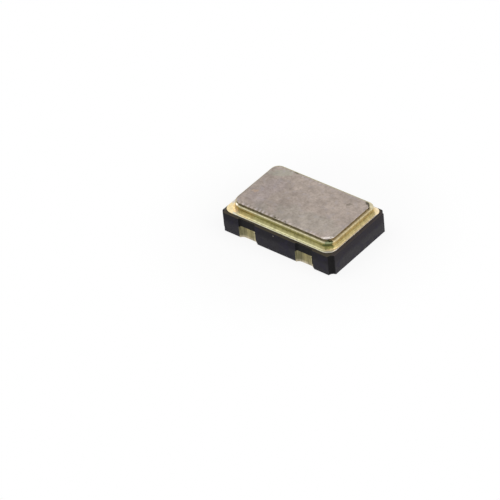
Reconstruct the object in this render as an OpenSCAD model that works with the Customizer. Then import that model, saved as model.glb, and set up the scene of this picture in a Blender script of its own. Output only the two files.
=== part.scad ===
// Surface-mount crystal oscillator in a seam-welded ceramic package.
// The solder plane is z = 0 and the origin is the middle of the package.
// +X runs along the long sides, +Z points out of the lid.
// Pin 1 is at -X -Y and the pins count counter-clockwise seen from the lid.

/* [Package] */
// Length of the ceramic body
package_length = 5.0; // [4.4:0.1:7]
// Width of the ceramic body
package_width = 3.2; // [2.8:0.1:5]
// Height of the ceramic body, without its terminals
base_height = 0.81; // [0.78:0.01:1.4]
// Thickness of the end walls round the cavity
end_wall = 0.5; // [0.42:0.01:0.7]
// Thickness of the side walls round the cavity
side_wall = 0.5; // [0.42:0.01:0.7]
// Radius of the quarter-round notch in each corner
corner_notch_r = 0.2; // [0.05:0.01:0.25]
// Bevel left along the outer edges where the sheet was scored and snapped
snap_bevel = 0.025; // [0.01:0.005:0.06]

/* [Ceramic layers] */
// Thickness of the bottom layer, the floor under the die
floor_layer = 0.24; // [0.15:0.01:0.4]
// Thickness of the second layer, up to the ledge for the bond fingers
bond_layer = 0.24; // [0.2:0.01:0.4]
// Thickness of the third layer, up to the shelf for the crystal
shelf_layer = 0.14; // [0.11:0.01:0.2]
// Length of the shelf that carries the crystal's fixed end
shelf_length = 0.8; // [0.72:0.01:1]
// Length of the rest under the crystal's free end
rest_length = 0.5; // [0.4:0.01:0.7]
// Width of the bond ledge along the long sides
side_ledge = 0.38; // [0.34:0.01:0.45]
// Width of the bond ledge at the two ends of the die pocket
end_ledge = 0.12; // [0.05:0.01:0.2]
// Corner radius of the cavity
cavity_corner_r = 0.2; // [0.1:0.01:0.3]
// Corner radius of the die pocket
pocket_corner_r = 0.1; // [0.05:0.01:0.2]

/* [Terminals] */
// Distance between the two terminals of a long side
terminal_pitch = 2.54; // [2.2:0.01:2.8]
// Length of a solder pad along the long side
pad_length = 1.2; // [1:0.01:1.5]
// Width of a solder pad, from the package edge inwards
pad_width = 1.0; // [0.6:0.01:1.2]
// Thickness of the terminal metal
terminal_film = 0.02; // [0.015:0.005:0.04]
// Corner cut from the pad of pin 1
pin_1_cut = 0.43; // [0.1:0.01:0.5]
// Width of the castellation groove above each pad
groove_width = 0.74; // [0.5:0.01:0.9]
// Depth of the metallised lower part of a groove
groove_depth = 0.14; // [0.1:0.005:0.18]
// Depth of the bare upper part of a groove
upper_groove_depth = 0.065; // [0.03:0.005:0.09]
// Radius in the two inner corners of the lower groove
groove_r = 0.12; // [0.06:0.005:0.14]
// Radius in the two inner corners of the upper groove
upper_groove_r = 0.05; // [0.02:0.005:0.06]

/* [Seal] */
// Thickness of the metallised band on the rim
band_film = 0.02; // [0.015:0.005:0.04]
// How far the band shows beyond the ring at the ends
band_end_margin = 0.1; // [0.05:0.01:0.15]
// How far the band shows beyond the ring along the sides
band_side_margin = 0.145; // [0.05:0.005:0.18]
// Least width of bare band that the braze leaves at the ends
band_bare = 0.015; // [0.01:0.005:0.03]
// Thickness of the braze under the ring
braze_film = 0.02; // [0.015:0.005:0.03]
// Height that the braze fillet climbs up the ring
braze_rise = 0.15; // [0.08:0.01:0.18]
// Thickness of the braze fillet where it is thinnest
braze_toe = 0.01; // [0.005:0.001:0.015]
// Wall of the seal ring
ring_wall = 0.24; // [0.2:0.01:0.32]
// Height of the seal ring
ring_height = 0.27; // [0.2:0.01:0.4]
// Corner radius outside the band, the ring and the lid
seal_corner_r = 0.3; // [0.24:0.01:0.4]
// How far the lid stays inside the ring's outer edge
lid_inset = 0.1; // [0.05:0.01:0.16]
// Thickness of the lid
lid_thickness = 0.1; // [0.06:0.01:0.15]
// Width of the slope that the weld rollers leave round the lid
lid_slope_width = 0.05; // [0.02:0.005:0.08]
// Drop of that slope
lid_slope_drop = 0.025; // [0.01:0.005:0.05]

/* [Crystal] */
// Gap between the blank and the cavity wall at the fixed end
blank_end_gap = 0.15; // [0.08:0.01:0.2]
// Gap between the blank and the cavity wall at the free end
blank_tip_gap = 0.4; // [0.1:0.01:0.6]
// Gap between the blank and the cavity's long walls
blank_side_gap = 0.25; // [0.15:0.01:0.35]
// Thickness of the quartz blank
blank_thickness = 0.065; // [0.03:0.005:0.12]
// Thickness of the electrodes
electrode_film = 0.015; // [0.01:0.005:0.02]
// Length of the electrodes
electrode_length = 1.9; // [1:0.05:2]
// Distance of the electrodes from the blank's long edges
electrode_margin = 0.25; // [0.2:0.01:0.27]
// Width of the electrode's arms
arm_width = 0.3; // [0.2:0.01:0.34]
// Length and width of the contact area at the fixed end
contact_size = 0.45; // [0.35:0.01:0.5]
// Height of the conductive adhesive under the blank
dot_height = 0.04; // [0.02:0.005:0.06]
// Radius of the conductive adhesive dots
dot_r = 0.17; // [0.1:0.01:0.2]

/* [Conductors] */
// Thickness of the printed conductors in the cavity
print_film = 0.02; // [0.015:0.005:0.03]
// Width of a bond finger and its lead
finger_width = 0.25; // [0.15:0.01:0.28]
// Gap between a bond finger and what is next to it
finger_gap = 0.1; // [0.05:0.01:0.15]
// Distance between neighbouring bond fingers
finger_pitch = 0.55; // [0.4:0.01:0.7]
// Width of the run inside the side wall
run_width = 0.12; // [0.08:0.01:0.14]
// Length of a crystal pad on its shelf
crystal_pad_length = 0.68; // [0.5:0.01:0.7]
// Width of a crystal pad on its shelf
crystal_pad_width = 0.78; // [0.6:0.01:0.8]
// Radius of the plated hole under a crystal pad
via_r = 0.05; // [0.03:0.005:0.06]

/* [Circuit] */
// Length of the oscillator die
die_length = 1.0; // [0.7:0.05:1.1]
// Width of the oscillator die
die_width = 0.8; // [0.6:0.05:0.85]
// Thickness of the oscillator die
die_thickness = 0.13; // [0.08:0.01:0.15]
// Thickness of the die attach
attach_film = 0.015; // [0.01:0.005:0.02]
// How far the die attach and the metal below it reach past the die
attach_margin = 0.05; // [0.02:0.01:0.06]
// Side of a bond pad on the die
bond_pad_size = 0.09; // [0.08:0.005:0.12]
// Thickness of a bond pad
bond_pad_film = 0.01; // [0.005:0.001:0.012]
// Distance of the bond pads from the die's edge, to their middle
bond_pad_inset = 0.08; // [0.06:0.01:0.12]
// Radius of the bond wire
wire_r = 0.0125; // [0.01:0.0005:0.015]
// Radius of the ball under a wire
ball_r = 0.035; // [0.025:0.001:0.038]
// Height of the ball under a wire
ball_height = 0.02; // [0.01:0.001:0.025]
// Height of the straight neck above the ball
neck_height = 0.03; // [0.02:0.005:0.05]
// Bend radius of a wire above its neck
bend_r = 0.05; // [0.04:0.005:0.06]

/* [Hidden] */
$fn = 48;

// Cuts reach this far past the faces that they open.
over = 0.1;

// Cavity opening, the same for the rim layer and the seal above it
cavity_length = package_length - 2 * end_wall;
cavity_width = package_width - 2 * side_wall;

// Heights, from the solder plane up
base_bottom = terminal_film;
floor_z = base_bottom + floor_layer;
bond_z = floor_z + bond_layer;
shelf_z = bond_z + shelf_layer;
base_top = base_bottom + base_height;
band_top = base_top + band_film;
ring_bottom = band_top + braze_film;
lid_bottom = ring_bottom + ring_height;
lid_top = lid_bottom + lid_thickness;

// The opening in the shelf layer, between the crystal's shelf and its rest
opening_left = -cavity_length / 2 + shelf_length;
opening_right = cavity_length / 2 - rest_length;
pocket_left = opening_left + end_ledge;
pocket_right = opening_right - end_ledge;
pocket_middle = (pocket_left + pocket_right) / 2;
pocket_length = pocket_right - pocket_left;
pocket_width = cavity_width - 2 * side_ledge;

// Seal outlines, each from the one inside it
ring_length = cavity_length + 2 * ring_wall;
ring_width = cavity_width + 2 * ring_wall;
band_length = ring_length + 2 * band_end_margin;
band_width = ring_width + 2 * band_side_margin;
braze_reach = min(band_end_margin, band_side_margin) - band_bare;
lid_length = ring_length - 2 * lid_inset;
lid_width = ring_width - 2 * lid_inset;

// Crystal: the contacts stand on the dots, and the blank on the contacts
crystal_pad_z = shelf_z + print_film;
contact_z = crystal_pad_z + dot_height;
blank_z = contact_z + electrode_film;
blank_left = -cavity_length / 2 + blank_end_gap;
blank_length = cavity_length - blank_end_gap - blank_tip_gap;
blank_width = cavity_width - 2 * blank_side_gap;
blank_middle = blank_left + blank_length / 2;
electrode_width = blank_width - 2 * electrode_margin;
contact_x = blank_left + contact_size / 2;
contact_y = blank_width / 2 - contact_size / 2 - electrode_film;

// Bond fingers: crystal, then the pins at -X, then the pins at +X
finger_end = pocket_width / 2 + finger_gap / 2;
finger_y = (finger_end + cavity_width / 2) / 2;
finger_z = bond_z + print_film;
crystal_finger_x = opening_left + finger_gap + finger_width / 2;
left_finger_x = crystal_finger_x + finger_pitch;
right_finger_x = opening_right - finger_gap - finger_width / 2;
groove_y = package_width / 2 - groove_depth;
run_y = (cavity_width / 2 + groove_y) / 2;

// Die stack
paddle_top = floor_z + print_film;
die_z = paddle_top + attach_film;
die_top = die_z + die_thickness;
bond_pad_top = die_top + bond_pad_film;
bond_pad_y = die_width / 2 - bond_pad_inset;
bond_pad_pitch = (die_length - 2 * bond_pad_inset) / 2;

// Side of the package that each pin is on: [along X, along Y]
PIN_SIDES = [[-1, -1], [1, -1], [1, 1], [-1, 1]];

// Where each wire lands: [side along Y, place along the die, finger]
WIRE_ROUTES = [
    [-1, -1, crystal_finger_x], [-1, 0, left_finger_x], [-1, 1, right_finger_x],
    [1, 1, right_finger_x], [1, 0, left_finger_x], [1, -1, crystal_finger_x]
];

// ---------- Shared shapes ----------

// Rectangle with true arcs in its corners
module rounded_rect(length, width, r) {
    square([length, width - 2 * r], center = true);
    square([length - 2 * r, width], center = true);
    for (x = [-1, 1], y = [-1, 1])
        translate([x * (length / 2 - r), y * (width / 2 - r)])
            circle(r);
}

// Plate with rounded corners, standing on height z
module rounded_plate(length, width, r, z, height) {
    translate([0, 0, z])
        linear_extrude(height)
            rounded_rect(length, width, r);
}

// Rounded frame between an outer and an inner outline
module rounded_frame(outer, inner, z, height) {
    difference() {
        rounded_plate(outer[0], outer[1], outer[2], z, height);
        rounded_plate(inner[0], inner[1], inner[2], z - over, height + 2 * over);
    }
}

// Sweeps its child round a rounded rectangle.
// The child's x points outwards from the outline, its y upwards.
module sweep_round(length, width, r) {
    for (side = [0:3]) {
        along_x = side % 2 == 1;
        reach = (along_x ? width : length) / 2;
        run = (along_x ? length : width) - 2 * r;
        rotate([0, 0, 90 * side]) {
            translate([reach, run / 2, 0])
                rotate([90, 0, 0])
                    linear_extrude(run)
                        children();
            translate([reach - r, run / 2, 0])
                rotate_extrude(angle = 90)
                    translate([r, 0])
                        children();
        }
    }
}

// Box from its two corners in plan, on height z
module strip(x0, x1, y0, y1, z, height) {
    translate([min(x0, x1), min(y0, y1), z])
        cube([abs(x1 - x0), abs(y1 - y0), height]);
}

// ---------- Ceramic body and terminals ----------

// Places a shape drawn with its y pointing inwards from the package edge
module at_pin(pin) {
    side = PIN_SIDES[pin - 1];
    translate([side[0] * terminal_pitch / 2, side[1] * package_width / 2, 0])
        rotate([0, 0, side[1] > 0 ? 180 : 0])
            children();
}

// Plan of a groove in the package edge, open towards the outside
module groove_plan(width, depth, r) {
    translate([-width / 2, -over])
        square([width, over + depth - r]);
    translate([-width / 2 + r, -over])
        square([width - 2 * r, over + depth]);
    for (x = [-1, 1])
        translate([x * (width / 2 - r), depth - r])
            circle(r);
}

// Wedges that bevel the four edges at the bottom of the body
module bottom_bevels() {
    deep = 2 * terminal_film;
    for (side = [0:3]) {
        along_x = side % 2 == 1;
        reach = (along_x ? package_width : package_length) / 2;
        run = (along_x ? package_length : package_width) + 2 * over;
        rotate([0, 0, 90 * side])
            translate([reach, run / 2, base_bottom])
                rotate([90, 0, 0])
                    linear_extrude(run)
                        polygon([
                            [over, snap_bevel + over],
                            [-snap_bevel - deep, -deep],
                            [over, -deep]
                        ]);
    }
}

// The same wedges at the top
module top_bevels() {
    translate([0, 0, base_bottom + base_top])
        mirror([0, 0, 1])
            bottom_bevels();
}

module body_outline() {
    difference() {
        translate([-package_length / 2, -package_width / 2, base_bottom])
            cube([package_length, package_width, base_height]);
        for (x = [-1, 1], y = [-1, 1])
            translate([x * package_length / 2, y * package_width / 2, base_bottom - over])
                cylinder(r = corner_notch_r, h = base_height + 2 * over);
        for (pin = [1:4]) at_pin(pin) {
            translate([0, 0, base_bottom - over])
                linear_extrude(bond_z - base_bottom + over)
                    groove_plan(groove_width, groove_depth, groove_r);
            translate([0, 0, base_bottom - over])
                linear_extrude(base_height + 2 * over)
                    groove_plan(groove_width, upper_groove_depth, upper_groove_r);
        }
        bottom_bevels();
        top_bevels();
    }
}

// Stepped cavity: rim opening, shelf opening, then the die pocket
module cavity() {
    rounded_plate(cavity_length, cavity_width, cavity_corner_r, shelf_z, base_height);
    strip(opening_left, opening_right, -cavity_width / 2, cavity_width / 2,
          bond_z, shelf_layer + over);
    translate([pocket_middle, 0, 0])
        rounded_plate(pocket_length, pocket_width, pocket_corner_r, floor_z,
                      bond_layer + over);
}

module ceramic_base() {
    color([0.2, 0.19, 0.2])
        difference() {
            body_outline();
            cavity();
            for (pin = [1:4]) lead_shape(pin);
            for (end = [1, 2]) crystal_print_shape(end);
        }
}

// Solder pad under the body and the metal that climbs its groove
module terminal(pin) {
    color([0.85, 0.69, 0.38])
        difference() {
            at_pin(pin) {
                linear_extrude(terminal_film)
                    difference() {
                        translate([-pad_length / 2, 0])
                            square([pad_length, pad_width]);
                        groove_plan(groove_width, groove_depth, groove_r);
                        if (pin == 1)
                            translate([pad_length / 2, pad_width])
                                rotate(45)
                                    square(pin_1_cut * sqrt(2), center = true);
                    }
                linear_extrude(bond_z)
                    difference() {
                        groove_plan(groove_width, groove_depth, groove_r);
                        groove_plan(groove_width - 2 * terminal_film,
                                    groove_depth - terminal_film,
                                    groove_r - terminal_film);
                        translate([-groove_width, -2 * over])
                            square([2 * groove_width, 2 * over]);
                    }
            }
            bottom_bevels();
        }
}

// ---------- Seal ----------

module seal_band() {
    color([0.86, 0.78, 0.52])
        rounded_frame([band_length, band_width, seal_corner_r],
                      [cavity_length, cavity_width, cavity_corner_r],
                      base_top, band_film);
}

// Concave run-out of the braze, from the ring's wall down to the band
module braze_profile() {
    difference() {
        square([braze_reach, braze_rise]);
        translate([braze_rise, braze_rise])
            circle(braze_rise - braze_toe);
    }
}

module seal_braze() {
    color([0.8, 0.76, 0.6]) {
        rounded_frame([ring_length, ring_width, seal_corner_r],
                      [cavity_length, cavity_width, cavity_corner_r],
                      band_top, braze_film);
        translate([0, 0, band_top])
            sweep_round(ring_length, ring_width, seal_corner_r)
                braze_profile();
    }
}

module seal_ring() {
    color([0.72, 0.66, 0.45])
        rounded_frame([ring_length, ring_width, seal_corner_r],
                      [cavity_length, cavity_width, cavity_corner_r],
                      ring_bottom, ring_height);
}

module lid() {
    color([0.65, 0.62, 0.58])
        difference() {
            rounded_plate(lid_length, lid_width, seal_corner_r, lid_bottom, lid_thickness);
            translate([0, 0, lid_top])
                sweep_round(lid_length, lid_width, seal_corner_r)
                    polygon([
                        [-lid_slope_width, 0],
                        [0, -lid_slope_drop],
                        [over, -lid_slope_drop],
                        [over, over],
                        [-lid_slope_width, over]
                    ]);
        }
}

// ---------- Conductors in the cavity ----------

// From the top of a terminal, through the side wall, to a bond finger
module lead_shape(pin) {
    side = PIN_SIDES[pin - 1];
    pin_x = side[0] * terminal_pitch / 2;
    finger_x = side[0] < 0 ? left_finger_x : right_finger_x;
    half = finger_width / 2;
    strip(pin_x - half, pin_x + half, side[1] * (groove_y + terminal_film),
          side[1] * (run_y - run_width / 2), bond_z, print_film);
    strip(min(pin_x, finger_x) - half, max(pin_x, finger_x) + half,
          side[1] * (run_y - run_width / 2), side[1] * (run_y + run_width / 2),
          bond_z, print_film);
    strip(finger_x - half, finger_x + half, side[1] * run_y, side[1] * finger_end,
          bond_z, print_film);
}

// Crystal pad on the shelf, plated hole below it, and its own bond finger.
// End 1 is on the -Y side, end 2 on the +Y side.
module crystal_print_shape(end) {
    side = end == 1 ? -1 : 1;
    pad_right = opening_left - finger_gap / 2;
    pad_out = cavity_width / 2 - finger_gap / 2;
    via_x = pad_right - crystal_pad_length / 2;
    strip(pad_right - crystal_pad_length, pad_right,
          side * (pad_out - crystal_pad_width), side * pad_out, shelf_z, print_film);
    translate([via_x, side * finger_y, bond_z])
        cylinder(r = via_r, h = shelf_layer + print_film);
    strip(via_x - finger_width / 2, crystal_finger_x + finger_width / 2,
          side * finger_end, side * (cavity_width / 2 - finger_gap / 2), bond_z, print_film);
}

module lead(pin) {
    color([0.84, 0.7, 0.42]) lead_shape(pin);
}

module crystal_print(end) {
    color([0.84, 0.7, 0.42]) crystal_print_shape(end);
}

// ---------- Circuit ----------

module die_paddle() {
    color([0.84, 0.7, 0.42])
        translate([pocket_middle, 0, 0])
            rounded_plate(die_length + 4 * attach_margin, die_width + 4 * attach_margin,
                          attach_margin, floor_z, print_film);
}

module die_attach() {
    color([0.6, 0.6, 0.6])
        translate([pocket_middle, 0, 0])
            rounded_plate(die_length + 2 * attach_margin, die_width + 2 * attach_margin,
                          attach_margin, paddle_top, attach_film);
}

module oscillator_die() {
    color([0.3, 0.32, 0.38])
        translate([pocket_middle - die_length / 2, -die_width / 2, die_z])
            cube([die_length, die_width, die_thickness]);
}

// Middle of the bond pad of a wire, in plan
function bond_pad_at(wire) =
    let (route = WIRE_ROUTES[wire - 1])
    [pocket_middle + route[1] * bond_pad_pitch, route[0] * bond_pad_y];

module die_bond_pads() {
    color([0.85, 0.84, 0.8])
        for (wire = [1:6])
            translate([bond_pad_at(wire)[0], bond_pad_at(wire)[1], die_top])
                translate([-bond_pad_size / 2, -bond_pad_size / 2, 0])
                    cube([bond_pad_size, bond_pad_size, bond_pad_film]);
}

// Ball on the die, neck, bend, then a straight fall to the stitch on the finger.
// The bend's centre is one bend radius from the neck, and the fall is the tangent
// from the stitch to the bend.
module bond_wire(wire) {
    route = WIRE_ROUTES[wire - 1];
    start = bond_pad_at(wire);
    stitch = [route[2], route[0] * finger_y];
    span = norm(stitch - start);
    heading = atan2(stitch[1] - start[1], stitch[0] - start[0]);
    neck_top = bond_pad_top + ball_height + neck_height;
    to_stitch = [span - bend_r, finger_z + wire_r - neck_top];
    reach = norm(to_stitch);
    turn = atan2(to_stitch[1], to_stitch[0]) + acos(bend_r / reach);
    fall = sqrt(reach * reach - bend_r * bend_r);
    color([0.9, 0.72, 0.35])
        translate([start[0], start[1], 0])
            rotate([0, 0, heading]) {
                translate([0, 0, bond_pad_top])
                    cylinder(r = ball_r, h = ball_height);
                translate([0, 0, bond_pad_top + ball_height])
                    cylinder(r = wire_r, h = neck_height);
                translate([bend_r, 0, neck_top]) {
                    rotate([90, 0, 0])
                        rotate([0, 0, turn])
                            rotate_extrude(angle = 180 - turn)
                                translate([bend_r, 0])
                                    circle(wire_r);
                    translate([bend_r * cos(turn), 0, bend_r * sin(turn)])
                        rotate([0, 180 - turn, 0])
                            cylinder(r = wire_r, h = fall);
                }
                translate([span, 0, finger_z])
                    cylinder(r = ball_r, h = ball_height / 2);
            }
}

// ---------- Crystal ----------

module adhesive_dot(end) {
    side = end == 1 ? -1 : 1;
    color([0.7, 0.69, 0.66])
        translate([contact_x, side * contact_y, crystal_pad_z])
            rotate_extrude() {
                square([dot_r - dot_height / 2, dot_height]);
                intersection() {
                    translate([dot_r - dot_height / 2, dot_height / 2])
                        circle(dot_height / 2);
                    square([dot_r, dot_height]);
                }
            }
}

module crystal_blank() {
    color([0.86, 0.9, 0.92, 0.6])
        translate([blank_left, -blank_width / 2, blank_z])
            cube([blank_length, blank_width, blank_thickness]);
}

// Electrode plate and the arm that leads to its contact, on height z
module electrode_plate(side, z) {
    strip(blank_middle - electrode_length / 2, blank_middle + electrode_length / 2,
          -electrode_width / 2, electrode_width / 2, z, electrode_film);
    strip(blank_left, blank_middle, side * (contact_y - arm_width / 2),
          side * (contact_y + arm_width / 2), z, electrode_film);
}

module contact(side) {
    half = contact_size / 2;
    strip(blank_left, contact_x + half, side * (contact_y - half),
          side * (contact_y + half), contact_z, electrode_film);
}

// The upper electrode folds round the blank's end to its contact below.
module electrode_top() {
    color([0.8, 0.8, 0.78]) {
        electrode_plate(1, blank_z + blank_thickness);
        strip(blank_left - electrode_film, blank_left, contact_y - arm_width / 2,
              contact_y + arm_width / 2, contact_z, blank_thickness + 2 * electrode_film);
        contact(1);
    }
}

module electrode_bottom() {
    color([0.8, 0.8, 0.78]) {
        electrode_plate(-1, contact_z);
        contact(-1);
    }
}

ceramic_base();
terminal(1);  // terminal_1
terminal(2);  // terminal_2
terminal(3);  // terminal_3
terminal(4);  // terminal_4
seal_band();
seal_braze();
seal_ring();
lid();
lead(1);  // lead_1
lead(2);  // lead_2
lead(3);  // lead_3
lead(4);  // lead_4
crystal_print(1);  // crystal_print_1
crystal_print(2);  // crystal_print_2
die_paddle();
die_attach();
oscillator_die();
die_bond_pads();
bond_wire(1);  // bond_wire_1
bond_wire(2);  // bond_wire_2
bond_wire(3);  // bond_wire_3
bond_wire(4);  // bond_wire_4
bond_wire(5);  // bond_wire_5
bond_wire(6);  // bond_wire_6
adhesive_dot(1);  // adhesive_dot_1
adhesive_dot(2);  // adhesive_dot_2
crystal_blank();
electrode_top();
electrode_bottom();
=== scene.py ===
"""Surface-mount crystal oscillator, lid up on a plain white table."""

import math

import bmesh
import bpy
from mathutils import Matrix, Vector


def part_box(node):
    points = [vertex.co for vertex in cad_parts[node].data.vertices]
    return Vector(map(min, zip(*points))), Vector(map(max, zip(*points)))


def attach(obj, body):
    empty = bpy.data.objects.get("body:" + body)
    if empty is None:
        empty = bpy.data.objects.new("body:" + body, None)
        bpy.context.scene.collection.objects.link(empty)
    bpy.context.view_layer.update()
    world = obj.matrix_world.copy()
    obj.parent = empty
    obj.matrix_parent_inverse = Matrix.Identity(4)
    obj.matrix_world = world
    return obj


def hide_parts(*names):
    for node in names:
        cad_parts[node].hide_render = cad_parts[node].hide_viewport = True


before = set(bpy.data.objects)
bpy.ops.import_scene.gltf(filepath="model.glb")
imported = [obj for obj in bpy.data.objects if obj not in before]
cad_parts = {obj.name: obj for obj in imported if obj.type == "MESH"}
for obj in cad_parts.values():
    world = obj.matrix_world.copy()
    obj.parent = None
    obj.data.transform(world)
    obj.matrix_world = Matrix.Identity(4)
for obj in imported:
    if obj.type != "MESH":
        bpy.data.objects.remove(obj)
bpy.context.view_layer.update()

# Pieces are modelled in millimetres and brought down to metres when they are finished.
MM = 0.001

# ---------- Sizes in millimetres ----------

# Points nearer than this count as one
TOUCH = 1e-4
# Cutters reach this far down and up, well past the body
BELOW = -1
ABOVE = 2
CORNER_NOTCH_R = 0.19
SNAP_BEVEL = 0.02
BACK_BEVEL = 0.085
LEFT_BEVEL = 0.13
GROOVE_WIDTH = 0.74
GROOVE_DEPTH = 0.14
GROOVE_R = 0.12
DRAWN_OUT = 2.1
CHIP_DEPTH = 0.07
CHIP_SLANT = 24
UPPER_GROOVE_DEPTH = 0.065
UPPER_GROOVE_R = 0.05
TERMINAL_FILM = 0.02
PIN_1_CUT = 0.43
PIN_X = 1.27
PAD_R = 0.03
CAVITY_X = (-2.0, 2.0)
CAVITY_WIDTH = 2.2
CAVITY_R = 0.2
SHELF_OPENING = (-1.2, 1.5)
WELL_R = 0.02
POCKET = (-1.08, 1.38)
POCKET_WIDTH = 1.44
POCKET_R = 0.1
PRINT_FILM = 0.02
RING_WALL = 0.24
BRAZE_REACH = 0.1
BRAZE_TOE = 0.004
WIRE_R = 0.0125
BALL_R = 0.035

# Corner radii in the order (+X +Y), (-X +Y), (-X -Y), (+X -Y)
BAND_CORNERS = (0.27, 0.30, 0.335, 0.38)
RING_CORNERS = (0.30, 0.32, 0.50, 0.36)
LID_CORNERS = (0.24, 0.30, 0.31, 0.34)

# The parts lie a little off the middle of the body, as a furnace jig leaves them.
BAND_X = (-2.42, 2.357)
BAND_Y = (-1.468, 1.535)
RING_SIZE = (4.466, 2.704)
RING_OFFSET = (0.023, 0.027, 0)
LID_OFFSET = (0.022, 0.008, 0)
GROOVE_DRIFT = {1: 0, 2: -0.03, 3: 0.01, 4: 0}

# Metres between the pads and the table, so that the two share no plane
FLOOR_GAP = 2e-6


def box_mm(node):
    """Lowest and highest corner of a CAD node, in millimetres."""
    low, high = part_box(node)
    return low / MM, high / MM


body_low, body_high = box_mm("ceramic_base")
band_low, band_high = box_mm("seal_band")
braze_low, braze_high = box_mm("seal_braze")
ring_low, ring_high = box_mm("seal_ring")
lid_low, lid_high = box_mm("lid")
floor_z = box_mm("die_paddle")[0].z
bond_z = box_mm("lead_2")[0].z
shelf_z = box_mm("crystal_print_1")[1].z - PRINT_FILM


# ---------- Modelling by hand ----------


def start_clean():
    """Leaves edit mode and deselects everything."""
    if bpy.context.object and bpy.context.object.mode != "OBJECT":
        leave_edit()
    bpy.ops.object.select_all(action="DESELECT")


def pick(piece):
    start_clean()
    piece.select_set(True)
    bpy.context.view_layer.objects.active = piece


def edit(piece):
    pick(piece)
    bpy.ops.object.mode_set(mode="EDIT")


def leave_edit():
    bpy.ops.object.mode_set(mode="OBJECT")


def choose_all():
    bpy.ops.mesh.select_all(action="SELECT")


def choose(piece, kind, wanted):
    """In edit mode, selects only the "verts", "edges" or "faces" that are wanted."""
    modes = {"verts": "VERT", "edges": "EDGE", "faces": "FACE"}
    bpy.ops.mesh.select_mode(type=modes[kind])
    bpy.ops.mesh.select_all(action="DESELECT")
    shape = bmesh.from_edit_mesh(piece.data)
    for element in getattr(shape, kind):
        if wanted(element):
            element.select_set(True)
    shape.select_flush_mode()
    bmesh.update_edit_mesh(piece.data)


def block(name, low, high):
    """A box between two corners, with its place in its mesh."""
    start_clean()
    low, high = Vector(low), Vector(high)
    bpy.ops.mesh.primitive_cube_add(size=1, location=(low + high) / 2, scale=high - low)
    bpy.ops.object.transform_apply(location=True, rotation=True, scale=True)
    piece = bpy.context.object
    piece.name = piece.data.name = name
    return piece


def upright(edge):
    a, b = edge.verts
    return (a.co - b.co).xy.length < TOUCH


def bevel_edges(piece, wanted, offset, segments):
    edit(piece)
    choose(piece, "edges", wanted)
    bpy.ops.mesh.bevel(offset=offset, segments=segments, affect="EDGES")
    leave_edit()


def apply_modifiers(piece):
    pick(piece)
    for modifier in list(piece.modifiers):
        bpy.ops.object.modifier_apply(modifier=modifier.name)


def weld(piece):
    """Merges points that touch, and drops what has no area."""
    edit(piece)
    choose_all()
    bpy.ops.mesh.remove_doubles(threshold=TOUCH)
    bpy.ops.mesh.dissolve_degenerate(threshold=TOUCH)
    leave_edit()


def cut(piece, cutters, operation="DIFFERENCE"):
    """Cuts the cutters out of the piece, or joins them to it, and removes them."""
    for cutter in cutters:
        boolean = piece.modifiers.new("cut", "BOOLEAN")
        boolean.operation = operation
        boolean.solver = "MANIFOLD"
        boolean.object = cutter
        apply_modifiers(piece)
        bpy.data.objects.remove(cutter)
        weld(piece)
    return piece


def soften(piece, width):
    """A small bevel on every sharp edge."""
    bevel = piece.modifiers.new("soft edges", "BEVEL")
    bevel.width = width
    bevel.segments = 2
    bevel.limit_method = "ANGLE"
    bevel.angle_limit = math.radians(35)
    apply_modifiers(piece)


def opening_cutter(name, ends, width, corner_r, z0):
    """Cuts a rounded opening into the body from above, between two places along X."""
    cutter = block(name, (ends[0], -width / 2, z0), (ends[1], width / 2, ABOVE))
    bevel_edges(cutter, upright, corner_r, 10)
    return cutter


def outline(name, places, opened):
    """Edges through these places, in edit mode. An opened one isn't a ring."""
    start_clean()
    bpy.ops.mesh.primitive_circle_add(vertices=len(places), radius=1)
    piece = bpy.context.object
    piece.name = piece.data.name = name
    for vertex, place in zip(piece.data.vertices, places):
        vertex.co = place
    edit(piece)
    if opened:
        ends = {0, len(places) - 1}
        choose(piece, "edges", lambda edge: {v.index for v in edge.verts} == ends)
        bpy.ops.mesh.delete(type="EDGE")
    bpy.ops.mesh.select_mode(type="VERT")
    choose_all()
    return piece


def sweep_round(
    name, section, length, width, corners, run_steps=1, corner_steps=16, filled=False
):
    """A section extruded along the sides and spun round the corners of an outline.
    The section's points are (outwards from the outline, height), the corners are four
    radii. A filled piece gets flat faces between its first points and between its last
    ones, other pieces stay open in the middle."""
    start = corners[3] - width / 2
    places = [(length / 2 + out, start, height) for out, height in section]
    piece = outline(name, places, opened=filled)
    for side in range(4):
        along_x = side % 2 == 1
        half_side = (length if along_x else width) / 2
        reach = (width if along_x else length) / 2
        run = 2 * half_side - corners[side - 1] - corners[side]
        turn = Matrix.Rotation(math.pi / 2 * side, 3, "Z")
        step = turn @ Vector((0, run / run_steps, 0))
        for _ in range(run_steps):
            bpy.ops.mesh.extrude_edges_move(TRANSFORM_OT_translate={"value": step})
        pivot = turn @ Vector((reach - corners[side], half_side - corners[side], 0))
        bpy.ops.mesh.spin(
            steps=corner_steps, angle=-math.pi / 2, center=pivot, axis=(0, 0, 1)
        )
    choose_all()
    bpy.ops.mesh.remove_doubles(threshold=TOUCH)
    if filled:
        bpy.ops.mesh.fill_holes(sides=0)
    choose_all()
    bpy.ops.mesh.normals_make_consistent(inside=False)
    leave_edit()
    return piece


def arc(middle, radius, start, end, steps, stretch=1):
    """Points of an arc in a section, angles in degrees, stretched upwards."""
    points = []
    for i in range(steps + 1):
        angle = math.radians(start + (end - start) * i / steps)
        points.append(
            (middle[0] + radius * math.cos(angle), middle[1] + stretch * radius * math.sin(angle))
        )
    return points


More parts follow.
